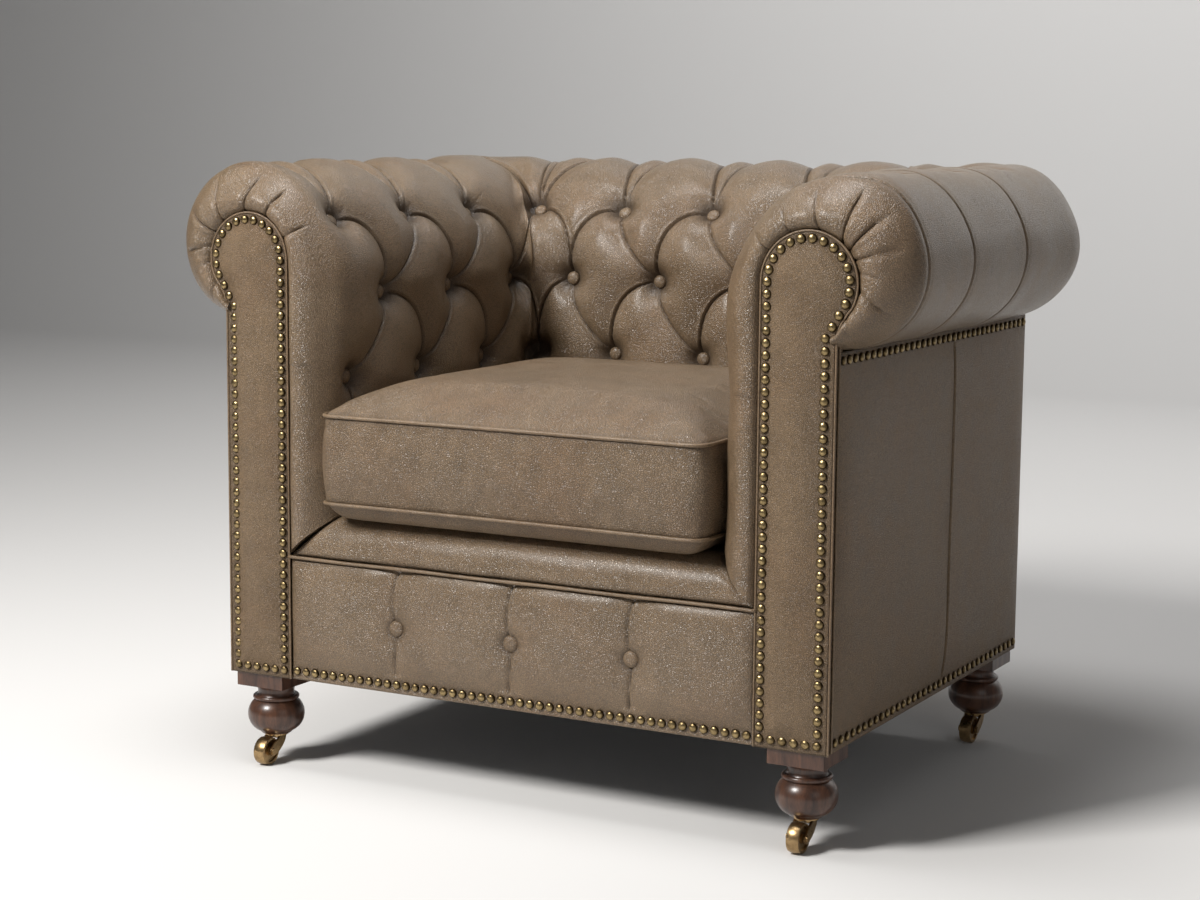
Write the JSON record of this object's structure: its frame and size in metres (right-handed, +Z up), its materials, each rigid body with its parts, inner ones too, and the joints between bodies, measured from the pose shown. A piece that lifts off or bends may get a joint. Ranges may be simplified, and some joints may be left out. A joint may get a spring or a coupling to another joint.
{
  "type": "tufted leather club chair",
  "caption": "Deep-buttoned leather club chair with rolled arms and back at one height, loose seat cushion, nail-trimmed facings and turned feet on swivel casters.",
  "frame": {"origin": "on the floor, below the middle of the chair's bounding box", "axes": "+X along the width, to the right as the chair is seen from the front; +Y from the front to the back; +Z up"},
  "size_m": [1.048, 0.7875, 0.796],
  "materials": {
    "leather": "semi-gloss pull-up leather with a pebble grain",
    "leather_piping": "the same leather round a cord",
    "foam": "open-cell foam",
    "deck_felt": "felt under platform cloth",
    "hessian": "coarse woven jute",
    "dust_cloth": "black woven cambric",
    "spring_steel": "drawn wire",
    "antique_brass": "aged, polished on the dome",
    "walnut_finish": "dark reddish polish",
    "caster_brass": "aged satin",
    "frame_hardwood": "planed beech"
  },
  "bodies": {
    "root": {"back_foam": "foam", "back_pad": "leather", "back_panel": "leather", "back_rail": "frame_hardwood", "back_roll_rail": "frame_hardwood", "base_nails": "antique_brass", "border_buttons": "leather", "border_piping": "leather_piping", "caster_sockets": "caster_brass", "corner_blocks": "frame_hardwood", "deck_pad": "deck_felt", "dust_cover": "dust_cloth", "facing_nails": "antique_brass", "facing_welts": "leather_piping", "foot_bolts": "spring_steel", "front_border": "leather", "front_left_foot": "walnut_finish", "front_rail": "frame_hardwood", "front_right_foot": "walnut_finish", "left_arm_board": "frame_hardwood", "left_arm_facing": "leather", "left_arm_foam": "foam", "left_arm_pad": "leather", "left_rear_post": "frame_hardwood", "left_roll_rail": "frame_hardwood", "left_side_panel": "leather", "left_side_rail": "frame_hardwood", "rear_left_foot": "walnut_finish", "rear_right_foot": "walnut_finish", "right_arm_board": "frame_hardwood", "right_arm_facing": "leather", "right_arm_foam": "foam", "right_arm_pad": "leather", "right_rear_post": "frame_hardwood", "right_roll_rail": "frame_hardwood", "right_side_panel": "leather", "right_side_rail": "frame_hardwood", "roll_nails": "antique_brass", "seat_lip": "leather", "seat_springs": "spring_steel", "spring_clips": "spring_steel", "spring_hessian": "hessian", "tack_rails": "frame_hardwood", "tufting_buttons": "leather"},
    "cushion": {"cushion_cover": "leather", "cushion_core": "foam", "cushion_piping": "leather_piping"},
    "front_left_swivel": {"front_left_caster_fork": "caster_brass", "front_left_caster_axle": "caster_brass"},
    "front_left_roller": {"front_left_caster_wheel": "caster_brass"},
    "front_right_swivel": {"front_right_caster_fork": "caster_brass", "front_right_caster_axle": "caster_brass"},
    "front_right_roller": {"front_right_caster_wheel": "caster_brass"},
    "rear_left_swivel": {"rear_left_caster_fork": "caster_brass", "rear_left_caster_axle": "caster_brass"},
    "rear_left_roller": {"rear_left_caster_wheel": "caster_brass"},
    "rear_right_swivel": {"rear_right_caster_fork": "caster_brass", "rear_right_caster_axle": "caster_brass"},
    "rear_right_roller": {"rear_right_caster_wheel": "caster_brass"}
  },
  "joints": [
    {"name": "cushion_lift", "type": "slide", "parent": "root", "child": "cushion", "axis": [0, 0, 1], "range_m": [0, 0.48]},
    {"name": "front_left_swivel_turn", "type": "hinge", "parent": "root", "child": "front_left_swivel", "pos_m": [-0.389, -0.32925, 0.04], "axis": [0, 0, 1], "continuous": true},
    {"name": "front_left_wheel_roll", "type": "hinge", "parent": "front_left_swivel", "child": "front_left_roller", "pos_m": [-0.389, -0.35275, 0.019], "axis": [1, 0, 0], "continuous": true},
    {"name": "front_right_swivel_turn", "type": "hinge", "parent": "root", "child": "front_right_swivel", "pos_m": [0.389, -0.32925, 0.04], "axis": [0, 0, 1], "continuous": true},
    {"name": "front_right_wheel_roll", "type": "hinge", "parent": "front_right_swivel", "child": "front_right_roller", "pos_m": [0.389, -0.35275, 0.019], "axis": [1, 0, 0], "continuous": true},
    {"name": "rear_left_swivel_turn", "type": "hinge", "parent": "root", "child": "rear_left_swivel", "pos_m": [-0.389, 0.25875, 0.04], "axis": [0, 0, 1], "continuous": true},
    {"name": "rear_left_wheel_roll", "type": "hinge", "parent": "rear_left_swivel", "child": "rear_left_roller", "pos_m": [-0.389, 0.23525, 0.019], "axis": [1, 0, 0], "continuous": true},
    {"name": "rear_right_swivel_turn", "type": "hinge", "parent": "root", "child": "rear_right_swivel", "pos_m": [0.389, 0.25875, 0.04], "axis": [0, 0, 1], "continuous": true},
    {"name": "rear_right_wheel_roll", "type": "hinge", "parent": "rear_right_swivel", "child": "rear_right_roller", "pos_m": [0.389, 0.23525, 0.019], "axis": [1, 0, 0], "continuous": true}
  ]
}
